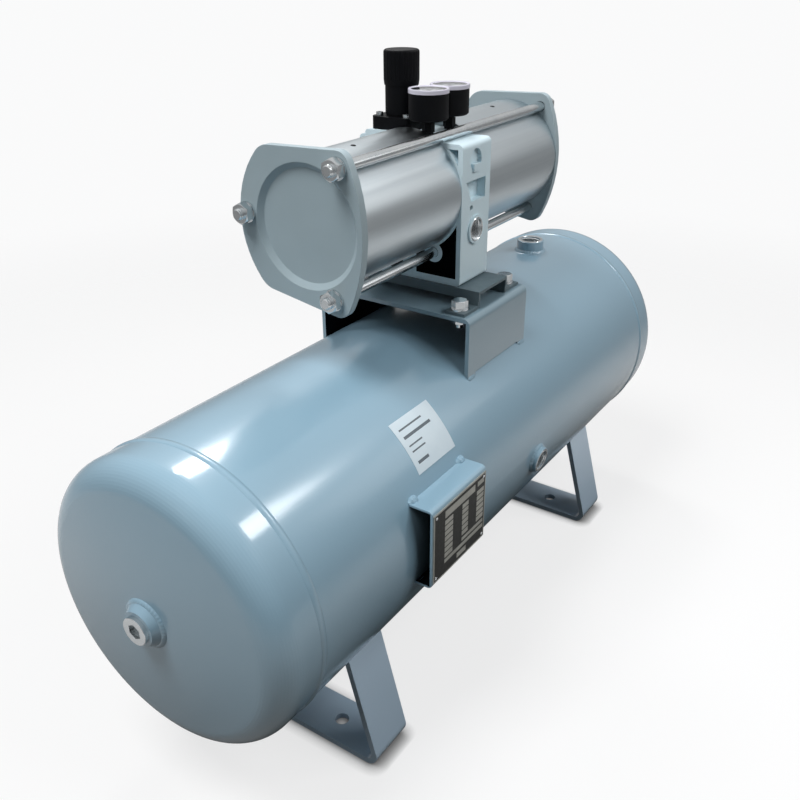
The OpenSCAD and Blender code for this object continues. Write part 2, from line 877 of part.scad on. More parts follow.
module end_plate() {
    near_mid = plate_near - near_round;
    far_mid = far_round - plate_far;
    top_near = meet(plate_top, 0.04, near_mid, near_round, 1);
    top_far = meet(plate_top, 0.04, far_mid, far_round, -1);
    low_near = meet(-plate_low, -0.16, near_mid, near_round, 1);
    low_far = meet(-plate_low, -0.16, far_mid, far_round, -1);
    near_side = side_arc(near_mid, near_round, top_near, low_near, 12);
    far_side = side_arc(far_mid, far_round, low_far, top_far, 16);
    outline = concat([top_far, top_near], near_side, [low_near, low_far], far_side);
    flat = [for (p = near_side) 0];
    bends = concat([20, 12], flat, [13, 20], [for (p = far_side) 0]);
    nut_room = hex_r(piston_nut_flats) + 2;
    difference() {
        union() {
            along_x(plate_in, plate_out)
                translate([0, cyl_z])
                    mirror([1, 0])
                        polygon(rounded(outline, bends, 7));
            x_cyl(spigot_r, chamber_out, plate_in + over, 0, cyl_z);
        }
        translate([plate_out - dish_depth, 0, cyl_z])
            rotate([0, 90, 0])
                cylinder(r1 = dish_radius - 5, r2 = dish_radius + 5 / dish_depth, h = dish_depth + 1);
        difference() {
            x_cyl(spigot_r + over, plate_in - 5.8, plate_in - 2.2, 0, cyl_z);
            x_cyl(bore_radius - 3.4, chamber_out, plate_in, 0, cyl_z);
        }
        x_cyl(nut_room, chamber_out - over, plate_in - 3, 0, cyl_z);
        for (a = rod_angles)
            x_cyl(tie_radius + rod_hole_gap, plate_in - over, plate_out + over, rod_y(a), rod_z(a));
    }
}

module left_end_plate() {
    color(cast_paint)
    at_booster()
        mirror([1, 0, 0])
            end_plate();
}

module right_end_plate() {
    color(cast_paint)
    at_booster()
        end_plate();
}

module tie_rods() {
    color(bare_steel)
    at_booster()
        for (a = rod_angles)
            x_stud(tie_radius, -rod_end, rod_end, rod_tip, rod_y(a), rod_z(a));
}

module tie_rod_nuts() {
    inner = plate_out + washer_height;
    color(bare_steel)
    at_booster()
        both_ends()
            for (a = rod_angles)
                difference() {
                    x_nut(nut_flats, inner, inner + nut_height, rod_y(a), rod_z(a));
                    x_cyl(tie_radius + run_gap, inner - over, inner + nut_height + over, rod_y(a), rod_z(a));
                }
}

module tie_rod_washers() {
    color(bare_steel)
    at_booster()
        both_ends()
            for (a = rod_angles)
                x_ring(9.5, tie_radius + rod_hole_gap, plate_out, plate_out + washer_height,
                    rod_y(a), rod_z(a));
}

module seal_ring(x) {
    translate([x, 0, cyl_z])
        rotate([0, 90, 0])
            rotate_extrude()
                translate([bore_radius - 1.7, 0])
                    circle(r = 1.6, $fn = 24);
}

module tube_seals() {
    color(dark_rubber)
    at_booster()
        both_ends() {
            seal_ring(half_housing + 4);
            seal_ring(plate_in - 4);
        }
}

module rod_bushes() {
    color(yellow_brass)
    at_booster()
        both_ends()
            x_ring(bush_r - run_gap, piston_rod_radius + run_gap, 8, chamber_in - 3, 0, cyl_z);
}

module rod_seals() {
    color(dark_rubber)
    at_booster()
        both_ends()
            x_ring(bush_r - run_gap, piston_rod_radius + run_gap,
                chamber_in - 2.9, chamber_in - 0.2, 0, cyl_z);
}

module valve_sleeve() {
    color(bare_alloy)
    at_booster()
        difference() {
            x_ring(sleeve_r, valve_bore, -sleeve_half, sleeve_half, 0, valve_z);
            for (x = [-18, 0, 18])
                z_cyl(2.5, valve_z - 2 * sleeve_r, valve_z, x, 0);
        }
}

module valve_caps() {
    color(bare_alloy)
    at_booster()
        both_ends()
            x_ring(sleeve_r, push_radius + run_gap, sleeve_half, chamber_in - 0.2, 0, valve_z);
}

module check_retainers() {
    color(bare_steel)
    at_booster()
        both_ends()
            for (s = [-1, 1])
                x_ring(check_r, 4, retainer_in, chamber_in - 0.1, s * check_y, cyl_z);
}

module piston() {
    difference() {
        x_cyl(piston_r, piston_in, piston_out, 0, cyl_z);
        x_cyl(rod_tip_radius + run_gap, piston_in - over, piston_out + over, 0, cyl_z);
        for (x = [piston_in + 4, piston_out - 9])
            x_ring(piston_r + over, piston_r - groove_depth, x, x + 5, 0, cyl_z);
    }
}

module left_piston() {
    color(bare_alloy)
    at_booster()
        mirror([1, 0, 0])
            piston();
}

module right_piston() {
    color(bare_alloy)
    at_booster()
        piston();
}

module piston_rod() {
    color(bare_steel)
    at_booster()
        union() {
            x_cyl(piston_rod_radius, -piston_in, piston_in, 0, cyl_z);
            x_cyl(rod_tip_radius, -piston_out - piston_nut - 1, piston_out + piston_nut + 1, 0, cyl_z);
        }
}

module piston_nuts() {
    color(bare_steel)
    at_booster()
        both_ends()
            difference() {
                x_nut(piston_nut_flats, piston_out, piston_out + piston_nut, 0, cyl_z);
                x_cyl(rod_tip_radius + run_gap, piston_out - over, piston_out + piston_nut + over, 0, cyl_z);
            }
}

module piston_seals() {
    inner = piston_r - groove_depth + run_gap;
    color(dark_rubber)
    at_booster()
        both_ends()
            for (x = [piston_in + 4, piston_out - 9])
                x_ring(bore_radius - run_gap, inner, x + 0.1, x + 4.9, 0, cyl_z);
}

module spool() {
    neck = spool_radius - 2;
    color(bare_steel)
    at_booster()
        difference() {
            union() {
                x_cyl(spool_radius, -sleeve_half + 4, sleeve_half - 4, 0, valve_z);
                x_cyl(push_radius, -push_end, push_end, 0, valve_z);
            }
            for (x = [-14, 6])
                x_ring(spool_radius + over, neck, x, x + 8, 0, valve_z);
        }
}

module inlet_check() {
    x_cyl(6.5, check_seat + run_gap, check_seat + 3, -check_y, cyl_z);
    x_cyl(2, check_seat + 2, retainer_in - 4, -check_y, cyl_z);
}

module outlet_check() {
    x_cyl(6.5, retainer_in - 3, retainer_in - run_gap, check_y, cyl_z);
    x_cyl(2, check_seat + 4, retainer_in - 2, check_y, cyl_z);
}

module inlet_check_left() {
    color(yellow_brass)
    at_booster()
        mirror([1, 0, 0])
            union()
                inlet_check();
}

module inlet_check_right() {
    color(yellow_brass)
    at_booster()
        union()
            inlet_check();
}

module outlet_check_left() {
    color(yellow_brass)
    at_booster()
        mirror([1, 0, 0])
            union()
                outlet_check();
}

module outlet_check_right() {
    color(yellow_brass)
    at_booster()
        union()
            outlet_check();
}

module at_governor() {
    translate([booster_shift, governor_y, 0])
        children();
}

module governor_base() {
    h = governor_side / 2;
    color(black_resin)
    at_governor()
        difference() {
            translate([0, 0, platform_z])
                linear_extrude(governor_height)
                    polygon(rounded([[-h, -h], [h, -h], [h, h], [-h, h]], [6, 6, 6, 6], 6));
            z_cyl(4.5, platform_z - over, platform_z + 7);
            z_cyl(11, platform_z + 6, governor_top + over);
            for (sx = [-1, 1], sy = [-1, 1])
                z_cyl(2 + rod_hole_gap, platform_z - over, governor_top + over,
                    sx * screw_half, sy * screw_half);
        }
}

module governor_screws() {
    color(bare_steel)
    at_governor()
        for (sx = [-1, 1], sy = [-1, 1])
            translate([sx * screw_half, sy * screw_half, 0])
                difference() {
                    union() {
                        z_cyl(3.5, governor_top, governor_top + 3.4);
                        z_cyl(2, platform_z - 7, governor_top + over);
                    }
                    z_hex(3, governor_top + 1.4, governor_top + 5, 0, 0);
                }
}

module diaphragm() {
    color(dark_rubber)
    at_governor()
        z_cyl(14.4, governor_top, bonnet_low);
}

module spring_plate() {
    color(bare_steel)
    at_governor()
        union() {
            z_cyl(11, bonnet_low, spring_low - run_gap);
            z_cyl(5.6, bonnet_low, spring_low + 2);
        }
}

module bonnet() {
    color(black_resin)
    at_governor()
        difference() {
            z_cyl(bonnet_radius, bonnet_low, bonnet_top);
            z_cyl(bonnet_inner, bonnet_low - over, bonnet_top - 4);
            z_cyl(screw_radius + run_gap, bonnet_top - 5, bonnet_top + over);
        }
}

module regulating_spring() {
    color(bare_steel)
    at_governor()
        coil(8.4, 1.2, spring_low + run_gap, seat_low - run_gap, 5, 24, 8);
}

module spring_seat() {
    color(yellow_brass)
    at_governor()
        z_ring(bonnet_inner - free_gap, screw_radius + run_gap, seat_low, seat_low + 4);
}

module adjusting_screw() {
    color(bare_steel)
    at_governor()
        union() {
            z_cyl(screw_radius, seat_low - 5, bonnet_top + 1);
            z_cyl(7, bonnet_top - 7, bonnet_top - 4 - run_gap);
            z_hex(6.6, bonnet_top + 0.5, knob_top - 7, 0, 0);
        }
}

module knob() {
    r = knob_radius;
    hollow = bonnet_radius + free_gap;
    outer = [[0, knob_top], [r, knob_top], [r, knob_low + 5], [r - 0.6, knob_low], [hollow, knob_low],
        [hollow, knob_top - 5], [0, knob_top - 5]];
    color(black_resin)
    at_governor()
        difference() {
            union() {
                rotate_extrude()
                    polygon(rounded(outer, [0, 2.6, 0, 0, 0, 1, 0], 5));
                z_cyl(6.5, bonnet_top + 2.5, knob_top - 4.5);
            }
            z_hex(6.6 + 2 * run_gap, bonnet_top, knob_top - 3.4, 0, 0);
            for (i = [1 : knob_flutes])
                rotate(360 * i / knob_flutes)
                    z_cyl(flute_radius, knob_low + 5, knob_top + over, r + flute_radius - flute_depth, 0);
        }
}

module governor_valve() {
    seat = platform_z - run_gap;
    color(yellow_brass)
    at_governor()
        union() {
            z_cyl(2, seat - 10, governor_top - run_gap);
            z_cyl(6, seat - 4.5, seat);
            z_cyl(3, seat - 14, seat - 4);
        }
}

module at_gauges() {
    at_booster()
        for (s = [-1, 1])
            translate([s * gauge_half, -gauge_y, 0])
                children();
}

module gauge_cases() {
    color(black_resin)
    at_gauges()
        difference() {
            union() {
                z_cyl(gauge_radius, gauge_low + gauge_edge, gauge_top - rim_height);
                translate([0, 0, gauge_low])
                    cylinder(r1 = gauge_radius - gauge_edge, r2 = gauge_radius, h = gauge_edge);
                z_cyl(5, platform_z - 11, gauge_low + over);
                z_hex(gauge_stem_hex, platform_z + 2, gauge_low - 3, 0, 0);
            }
            z_cyl(gauge_radius - gauge_wall, gauge_low + gauge_wall, gauge_top);
        }
}

module gauge_bezels() {
    color(bare_alloy)
    at_gauges()
        rotate_extrude()
            polygon([[rim_inner, gauge_top - rim_height], [gauge_radius, gauge_top - rim_height],
                [gauge_radius, gauge_top - 0.6], [gauge_radius - 0.6, gauge_top],
                [rim_inner + 0.3, gauge_top], [rim_inner, gauge_top - 0.3]]);
}

module gauge_dials() {
    color(white_face)
    at_gauges()
        difference() {
            z_cyl(gauge_radius - gauge_wall - run_gap, gauge_low + gauge_wall, dial_z);
            z_cyl(1.2, dial_z - 6, dial_z + over);
        }
}

module gauge_lenses() {
    color([0.85, 0.92, 0.95, 0.4])
    at_gauges()
        z_cyl(gauge_radius - gauge_wall - 0.5, gauge_top - 1.3, gauge_top - 0.3);
}

module pointer(s) {
    color(dark_rubber)
    at_booster()
        translate([s * gauge_half, -gauge_y, 0])
            union() {
                z_cyl(0.9, dial_z - 5, dial_z + 1.2);
                z_cyl(1.8, dial_z + 0.5, dial_z + 1.2);
                translate([0, 0, dial_z + 0.5])
                    linear_extrude(0.5)
                        rotate(225)
                            polygon([[-4, -1], [12.5, -0.3], [12.5, 0.3], [-4, 1]]);
            }
}

module left_pointer() {
    pointer(-1);
}

module right_pointer() {
    pointer(1);
}

tank_shell();
front_head();
rear_head();
end_bosses();
end_plugs();
top_boss();
side_boss();
drain_boss();
drain_plug();
front_leg();
rear_leg();
saddle_bracket();
plate_holder();
nameplate();
label();
mounting_channel();
channel_bolts();
channel_washers();
channel_nuts();
housing_screws();
centre_housing();
left_tube();
right_tube();
left_end_plate();
right_end_plate();
tie_rods();
tie_rod_nuts();
tie_rod_washers();
tube_seals();
rod_bushes();
rod_seals();
valve_sleeve();
valve_caps();
check_retainers();
left_piston();
right_piston();
piston_rod();
piston_nuts();
piston_seals();
spool();
inlet_check_left();
inlet_check_right();
outlet_check_left();
outlet_check_right();
governor_base();
governor_screws();
diaphragm();
spring_plate();
bonnet();
regulating_spring();
spring_seat();
adjusting_screw();
knob();
governor_valve();
gauge_cases();
gauge_bezels();
gauge_dials();
gauge_lenses();
left_pointer();
right_pointer();
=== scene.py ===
import json
import math

import bmesh
import bpy
from mathutils import Matrix, Vector


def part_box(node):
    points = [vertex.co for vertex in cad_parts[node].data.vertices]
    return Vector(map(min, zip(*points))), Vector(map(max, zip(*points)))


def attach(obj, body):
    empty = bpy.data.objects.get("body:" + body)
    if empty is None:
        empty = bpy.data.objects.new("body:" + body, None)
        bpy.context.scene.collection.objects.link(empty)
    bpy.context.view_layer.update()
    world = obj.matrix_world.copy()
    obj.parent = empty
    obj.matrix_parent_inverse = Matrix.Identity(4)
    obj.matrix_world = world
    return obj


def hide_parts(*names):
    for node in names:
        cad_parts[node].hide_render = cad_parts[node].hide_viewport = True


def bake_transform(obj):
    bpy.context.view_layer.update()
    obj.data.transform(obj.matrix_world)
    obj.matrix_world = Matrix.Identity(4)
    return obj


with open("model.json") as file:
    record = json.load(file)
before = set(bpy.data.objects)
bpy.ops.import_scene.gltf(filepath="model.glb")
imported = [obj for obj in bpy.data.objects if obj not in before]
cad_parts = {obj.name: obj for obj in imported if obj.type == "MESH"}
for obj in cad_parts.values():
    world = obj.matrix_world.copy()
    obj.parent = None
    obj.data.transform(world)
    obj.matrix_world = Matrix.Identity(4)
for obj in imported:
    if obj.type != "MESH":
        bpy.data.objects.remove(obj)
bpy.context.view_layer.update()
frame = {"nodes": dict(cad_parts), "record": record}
nodes = frame["nodes"]

MM = 0.001
X, Y, Z = Vector((1, 0, 0)), Vector((0, 1, 0)), Vector((0, 0, 1))
BOTH = (-1, 1)


def low(node, axis):
    return float(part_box(node)[0][axis])


def high(node, axis):
    return float(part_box(node)[1][axis])


def middle(node, axis):
    return (low(node, axis) + high(node, axis)) / 2


def half(node, axis):
    return (high(node, axis) - low(node, axis)) / 2


def turns(count):
    """The angles of equal steps round a circle."""
    return [2 * math.pi * i / count for i in range(count)]


# Places and sizes read from the frame, in metres
SEAM = high("tank_shell", 0)
TANK_R = half("tank_shell", 1)
AXIS_Z = middle("tank_shell", 2)
BOOSTER_X = middle("centre_housing", 0)
CYL_Z = middle("left_tube", 2)
TUBE_R = half("left_tube", 2)

# Sizes of the solids that the frame's boxes don't give
ARM_OUT = 97 * MM  # outer face of a leg's arm, from the tank's middle
ARM_IN = 91 * MM  # inner face of the same arm
BOSS_LENGTH = 8.5 * MM  # from an end boss's face back to its weld
SIDE_TILT = math.radians(8)  # how far the side socket points down
SIDE_LENGTH = 6 * MM  # how far the side socket stands off the shell
TOP_BORE = 12.1 * MM
SIDE_BORE = 10.4 * MM
PORT_BORE = 10.5 * MM
PORT_DROP = 36.5 * MM  # the booster's ports, below the cylinders' axis
ROD_CIRCLE = 65 * MM  # the tie rods, from the cylinders' axis
ROD_RADIUS = 5 * MM
ROD_ANGLES = [math.radians(a) for a in (56, -64, 176)]

# The parts of three solids that are painted dark inside, as painted shade
HOLDER_SHEET = 2.3 * MM
SADDLE_SHEET = 4.2 * MM
POCKET_HALF = (26.7 * MM, 54.1 * MM)
POCKET_FLOOR = 6.8 * MM
POCKET_TOP = 10 * MM


# Finishes, with colours given as they show on a screen from 0 to 255

NOISE_SPAN = (0.2, 0.8)


def tone(color):
    """The linear colour of three screen levels."""
    linear = []
    for level in color:
        share = level / 255
        curve = ((share + 0.055) / 1.055) ** 2.4
        linear.append(share / 12.92 if share < 0.04045 else curve)
    return (*linear, 1.0)


class Tree:
    """Short ways to add and join the nodes of a material or a world."""

    def __init__(self, owner, empty=False):
        owner.use_nodes = True
        self.nodes = owner.node_tree.nodes
        self.links = owner.node_tree.links
        if empty:
            self.nodes.clear()

    def add(self, kind, sockets=None, **settings):
        """A node with its settings, and with its inputs joined to outputs or set to values."""
        made = self.nodes.new("ShaderNode" + kind)
        for name, value in settings.items():
            setattr(made, name, value)
        for socket, value in (sockets or {}).items():
            self.feed(made.inputs[socket], value)
        return made

    def feed(self, target, value):
        if isinstance(value, bpy.types.NodeSocket):
            self.links.new(value, target)
        else:
            target.default_value = value

    def ease(self, value, source, target):
        """Takes a value smoothly from one span to another."""
        span = self.add(
            "MapRange",
            {"Value": value, "From Min": source[0], "From Max": source[1],
             "To Min": target[0], "To Max": target[1]},
            interpolation_type="SMOOTHSTEP")
        return span.outputs["Result"]

    def mix(self, factor, first, second):
        """A blend of two shaders."""
        return self.add("MixShader", {0: factor, 1: first.outputs[0], 2: second.outputs[0]})

    def rays(self, *names):
        """One where a ray is of any of the named kinds, and zero elsewhere."""
        path = self.add("LightPath")
        value = path.outputs[names[0]]
        for name in names[1:]:
            most = self.add("Math", {0: value, 1: path.outputs[name]}, operation="MAXIMUM")
            value = most.outputs[0]
        return value


class Look(Tree):
    """A material on one principled shader, with detail measured in metres on the piece."""

    def __init__(self, name, color, roughness, sockets=None):
        self.material = bpy.data.materials.new(name)
        super().__init__(self.material)
        self.shader = self.nodes["Principled BSDF"]
        self.set("Base Color", tone(color))
        self.set("Roughness", roughness)
        for socket, value in (sockets or {}).items():
            self.set(socket, value)

    def set(self, socket, value):
        self.feed(self.shader.inputs[socket], value)

    def noise(self, scale, stretch=(1, 1, 1), detail=2.0):
        place = self.add("TexCoord")
        mapping = self.add("Mapping", {"Vector": place.outputs["Object"], "Scale": stretch})
        texture = self.add("TexNoise", {"Vector": mapping.outputs["Vector"], "Scale": scale,
                                        "Detail": detail})
        return texture.outputs["Fac"]

    def tint(self, value, first, second):
        blend = self.add(
            "Mix",
            {"A": tone(first), "B": tone(second),
             "Factor": self.ease(value, NOISE_SPAN, (0.0, 1.0))},
            data_type="RGBA")
        self.set("Base Color", blend.outputs["Result"])

    def polish(self, value, smooth, rough):
        self.set("Roughness", self.ease(value, NOISE_SPAN, (smooth, rough)))

    def relief(self, value, height):
        """A layer of bumps over those that the look already has."""
        bump = self.add("Bump", {"Strength": 1.0, "Distance": height, "Height": value})
        for below in self.shader.inputs["Normal"].links:
            self.feed(bump.inputs["Normal"], below.from_socket)
        self.set("Normal", bump.outputs["Normal"])

    def within(self, box):
        """One inside a box of (low, high) pairs along the axes, where None leaves a side open."""
        place = self.add("TexCoord")
        parts = self.add("SeparateXYZ", {"Vector": place.outputs["Object"]})
        mask = 1.0
        for axis, limits in zip("XYZ", box):
            for limit, operation in zip(limits, ("GREATER_THAN", "LESS_THAN")):
                if limit is not None:
                    test = self.add("Math", {0: parts.outputs[axis], 1: limit},
                                    operation=operation)
                    both = self.add("Math", {0: mask, 1: test.outputs[0]}, operation="MINIMUM")
                    mask = both.outputs[0]
        return mask

    def lining(self, box, color):
        """Painted shade inside the box: a dark colour, with no clear coat on it."""
        mask = self.within(box)
        paint = self.shader.inputs["Base Color"].links[0].from_socket
        blend = self.add("Mix", {"A": paint, "B": tone(color), "Factor": mask},
                         data_type="RGBA")
        self.set("Base Color", blend.outputs["Result"])
        for socket in ("Coat Weight", "Specular IOR Level"):
            outside = self.shader.inputs[socket].default_value
            left = self.add("MapRange", {"Value": mask, "To Min": outside, "To Max": 0.0})
            self.set(socket, left.outputs["Result"])


# Painted shade: the dark colour put into the hollows of the holder, the saddle and the housing's
# pockets
PAINTED_SHADE = (14, 16, 19)


def gloss_enamel(name, first, second, inside=None, haze=0.11):
    """Sprayed paint under a clear gloss, with painted shade in the box inside."""
    look = Look(name, first, 0.32, {"Coat Weight": 1.0, "Coat Roughness": haze})
    look.tint(look.noise(scale=4.0), first, second)
    if inside:
        look.lining(inside, PAINTED_SHADE)
    look.polish(look.noise(scale=9.0), smooth=0.30, rough=0.35)
    look.relief(look.noise(scale=240.0, detail=1.0), height=0.05 * MM)
    return look.material


def cast_enamel(name, first, second, inside=None):
    """Thin paint on a casting, with painted shade in the box inside."""
    look = Look(name, first, 0.42)
    look.tint(look.noise(scale=20.0), first, second)
    if inside:
        look.lining(inside, PAINTED_SHADE)
    look.polish(look.noise(scale=120.0), smooth=0.38, rough=0.48)
    look.relief(look.noise(scale=900.0), height=0.04 * MM)
    look.relief(look.noise(scale=160.0), height=0.08 * MM)
    return look.material


def drawn_alloy():
    look = Look("drawn_alloy", (206, 214, 219), 0.32, {"Metallic": 1.0})
    streaks = look.noise(scale=1.0, stretch=(2, 180, 180))
    look.tint(streaks, (199, 208, 213), (209, 217, 221))
    fine_streaks = look.noise(scale=1.0, stretch=(5, 700, 700))
    look.polish(fine_streaks, smooth=0.30, rough=0.36)
    return look.material


def zinc_steel():
    look = Look("zinc_steel", (218, 222, 224), 0.22, {"Metallic": 1.0})
    look.tint(look.noise(scale=60.0), (212, 217, 220), (224, 227, 228))
    look.polish(look.noise(scale=40.0), smooth=0.19, rough=0.25)
    return look.material


def black_resin():
    look = Look("black_resin", (7, 8, 11), 0.5, {"Specular IOR Level": 0.15})
    look.tint(look.noise(scale=60.0), (6, 7, 10), (9, 10, 13))
    look.polish(look.noise(scale=500.0), smooth=0.46, rough=0.56)
    look.relief(look.noise(scale=2600.0), height=0.01 * MM)
    return look.material


def soft_rubber():
    look = Look("soft_rubber", (28, 28, 28), 0.75)
    look.polish(look.noise(scale=800.0), smooth=0.68, rough=0.85)
    look.relief(look.noise(scale=1800.0), height=0.03 * MM)
    return look.material


def turned_brass():
    look = Look("turned_brass", (196, 166, 96), 0.28, {"Metallic": 1.0})
    look.polish(look.noise(scale=900.0), smooth=0.22, rough=0.36)
    return look.material


def etched_alloy():
    look = Look("etched_alloy", (180, 180, 172), 0.45, {"Metallic": 0.6})
    look.tint(look.noise(scale=90.0), (170, 170, 163), (188, 188, 181))
    brushing = look.noise(scale=1.0, stretch=(60, 60, 900))
    look.polish(brushing, smooth=0.40, rough=0.52)
    return look.material


def flat_print(name, first, second, roughness):
    spread = 0.05
    look = Look(name, first, roughness)
    look.tint(look.noise(scale=70.0), first, second)
    look.polish(look.noise(scale=400.0), roughness - spread, roughness + spread)
    return look.material


def clear_lens():
    clear = {"IOR": 1.49, "Transmission Weight": 1.0}
    return Look("clear_lens", (250, 252, 255), 0.03, clear).material


# Boxes in which the paint gives way to painted shade
HOLDER_SHADE = (
    (None, None),
    (low("plate_holder", 1) + HOLDER_SHEET, None),
    (low("plate_holder", 2) + HOLDER_SHEET, high("plate_holder", 2) - HOLDER_SHEET),
)
SADDLE_SHADE = (
    (None, None),
    (low("saddle_bracket", 1) + SADDLE_SHEET, high("saddle_bracket", 1) - SADDLE_SHEET),
    (None, high("saddle_bracket", 2) - SADDLE_SHEET),
)
HOUSING_SHADE = (
    (BOOSTER_X - POCKET_HALF[0], BOOSTER_X + POCKET_HALF[0]),
    (-POCKET_HALF[1], POCKET_HALF[1]),
    (low("centre_housing", 2) + POCKET_FLOOR, CYL_Z - POCKET_TOP),
)

TANK_BLUE = ((138, 171, 190), (142, 175, 194))
TANK = gloss_enamel("tank_enamel", *TANK_BLUE)
SHELL = gloss_enamel("shell_enamel", *TANK_BLUE, haze=0.16)
# Written lighter than the legs' paint, which is nearer the tank's: painted light for the weak
# light on their faces
LEG = gloss_enamel("leg_enamel", (188, 212, 232), (192, 216, 236))
HOLDER = gloss_enamel("holder_enamel", *TANK_BLUE, HOLDER_SHADE)
SADDLE = gloss_enamel("saddle_enamel", (126, 151, 164), (130, 155, 168), SADDLE_SHADE)
CHANNEL = cast_enamel("channel_enamel", (84, 100, 107), (89, 105, 112))
# Written lighter than the end plates' paint: painted light for the weak light on their faces
PLATE = cast_enamel("plate_enamel", (160, 177, 184), (165, 182, 189))
# Written lighter than the housing's paint: painted light for the weak light on its faces
HOUSING = cast_enamel("housing_enamel", (212, 232, 240), (216, 236, 244), HOUSING_SHADE)
ALLOY = drawn_alloy()
STEEL = zinc_steel()
RESIN = black_resin()
RUBBER = soft_rubber()
BRASS = turned_brass()
ETCHED = etched_alloy()
BEZEL = flat_print("bezel_white", (208, 206, 220), (214, 212, 226), 0.32)
DIAL = flat_print("dial_white", (232, 232, 230), (238, 238, 236), 0.5)
LABEL = flat_print("label_white", (208, 223, 232), (213, 227, 235), 0.4)
INK = flat_print("print_black", (26, 27, 29), (32, 33, 35), 0.5)
RULE = flat_print("print_grey", (92, 102, 110), (100, 110, 118), 0.5)
FIELD = flat_print("plate_black", (19, 20, 18), (23, 24, 21), 0.5)
LENS = clear_lens()

# The look of each material slot in the record, and of nodes that differ from their slot
SLOT_LOOKS = {
    "tank_paint": TANK,
    "channel_paint": CHANNEL,
    "plate_paint": PLATE,
    "housing_paint": HOUSING,
    "alloy": ALLOY,
    "plate_alloy": ETCHED,
    "steel": STEEL,
    "rubber": RUBBER,
    "brass": BRASS,
    "black_resin": RESIN,
    "pointer_black": INK,
    "bezel": BEZEL,
    "dial_white": DIAL,
    "label_white": LABEL,
    "lens": LENS,
}
OWN_LOOKS = {
    "tank_shell": SHELL,
    "front_leg": LEG,
    "rear_leg": LEG,
    "plate_holder": HOLDER,
    "saddle_bracket": SADDLE,
}


# Forms gathered into pieces

MERGE = 1e-7
ROUND_EDGES = 40
FLAT_EDGES = 20


class Shape:
    """Points and faces of one or more forms, before they become a piece."""

    def __init__(self):
        self.points = []
        self.faces = []

    def grid(self, rows, loop_rows=False, loop_points=False):
        start = len(self.points)
        count = len(rows[0])
        for row in rows:
            self.points.extend(Vector(p) for p in row)
        last_row = len(rows) if loop_rows else len(rows) - 1
        last_point = count if loop_points else count - 1
        for i in range(last_row):
            for j in range(last_point):
                a = start + i * count
                b = start + (i + 1) % len(rows) * count
                k = (j + 1) % count
                self.faces.append((a + j, a + k, b + k, b + j))

    def cap(self, row):
        start = len(self.points)
        self.points.extend(Vector(p) for p in row)
        self.faces.append(tuple(range(start, start + len(row))))

    def lathe(self, profile, place, steps=48):
        """Turns a closed profile of (radius, height) about the place's upright axis."""
        rows = []
        for radius, height in profile:
            rows.append([
                place @ Vector((radius * math.cos(turn), radius * math.sin(turn), height))
                for turn in turns(steps)])
        self.grid(rows, loop_rows=True, loop_points=True)

    def sweep(self, sections, closed):
        self.grid(sections, loop_rows=closed, loop_points=True)
        if not closed:
            self.cap(sections[0])
            self.cap(sections[-1])

    def tile(self, place, width, height, thick, edge):
        """A thin plate with a bevelled rim, lying on the place's own ground."""
        rows = []
        for inset, level in ((0, 0), (0, thick - edge), (edge, thick)):
            w, h = width / 2 - inset, height / 2 - inset
            corners = ((-w, -h), (w, -h), (w, h), (-w, h))
            rows.append([place @ Vector((x, y, level)) for x, y in corners])
        self.sweep(rows, closed=False)

    def add_mesh(self, mesh, place):
        start = len(self.points)
        self.points.extend(place @ v.co for v in mesh.vertices)
        for face in mesh.polygons:
            self.faces.append(tuple(start + i for i in face.vertices))


def stand(origin, axis):
    """A place whose own upright axis points along the given one."""
    turn = Vector(axis).to_track_quat("Z", "Y").to_matrix().to_4x4()
    return Matrix.Translation(Vector(origin)) @ turn


def piece(name, shape, material, body="base", smooth=ROUND_EDGES):
    mesh = bpy.data.meshes.new(name)
    mesh.from_pydata(shape.points, [], shape.faces)
    form = bmesh.new()
    form.from_mesh(mesh)
    bmesh.ops.remove_doubles(form, verts=form.verts, dist=MERGE)
    bmesh.ops.dissolve_degenerate(form, edges=form.edges, dist=MERGE)
    bmesh.ops.recalc_face_normals(form, faces=form.faces)
    form.to_mesh(mesh)
    form.free()
    mesh.shade_smooth()
    mesh.set_sharp_from_angle(angle=math.radians(smooth))
    mesh.materials.append(material)
    made = bpy.data.objects.new(name, mesh)
    bpy.context.collection.objects.link(made)
    if body:
        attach(made, body)
    return made


# CAD pieces with their finish, and with rounded edges where the real one has them

SOFT_JOIN = 0.01 * MM
SOFT_FLAT = math.radians(1)
SOFT_ANGLE = math.radians(32)
SOFT_SEGMENTS = 3
SOFT_EDGES = {
    "front_leg": 0.8 * MM,
    "rear_leg": 0.8 * MM,
    "saddle_bracket": 0.7 * MM,
    "plate_holder": 0.5 * MM,
    "mounting_channel": 0.5 * MM,
    "left_end_plate": 1.8 * MM,
    "right_end_plate": 1.8 * MM,
    "centre_housing": 0.9 * MM,
    "governor_base": 0.8 * MM,
    "end_plugs": 0.6 * MM,
    "top_boss": 0.8 * MM,
    "side_boss": 0.8 * MM,
}


def dress(node, material):
    nodes[node].data.materials.clear()
    nodes[node].data.materials.append(material)


def soften(node, width):
    made = nodes[node]
    if "custom_normal" in made.data.attributes:
        made.data.attributes.remove(made.data.attributes["custom_normal"])
    made.data.shade_smooth()
    join = made.modifiers.new("join", "WELD")
    join.merge_threshold = SOFT_JOIN
    flat = made.modifiers.new("flat", "DECIMATE")
    flat.decimate_type = "DISSOLVE"
    flat.angle_limit = SOFT_FLAT
    edge = made.modifiers.new("edge", "BEVEL")
    edge.width = width
    edge.segments = SOFT_SEGMENTS
    edge.limit_method = "ANGLE"
    edge.angle_limit = SOFT_ANGLE
    edge.harden_normals = True


for part in frame["record"]["subparts"]:
    dress(part["node"], SLOT_LOOKS[part["material_slot"]])
for own_node, own_look in OWN_LOOKS.items():
    dress(own_node, own_look)
for soft_node, soft_width in SOFT_EDGES.items():
    soften(soft_node, soft_width)


# Weld beads, painted over, with sizes given as (width, height)

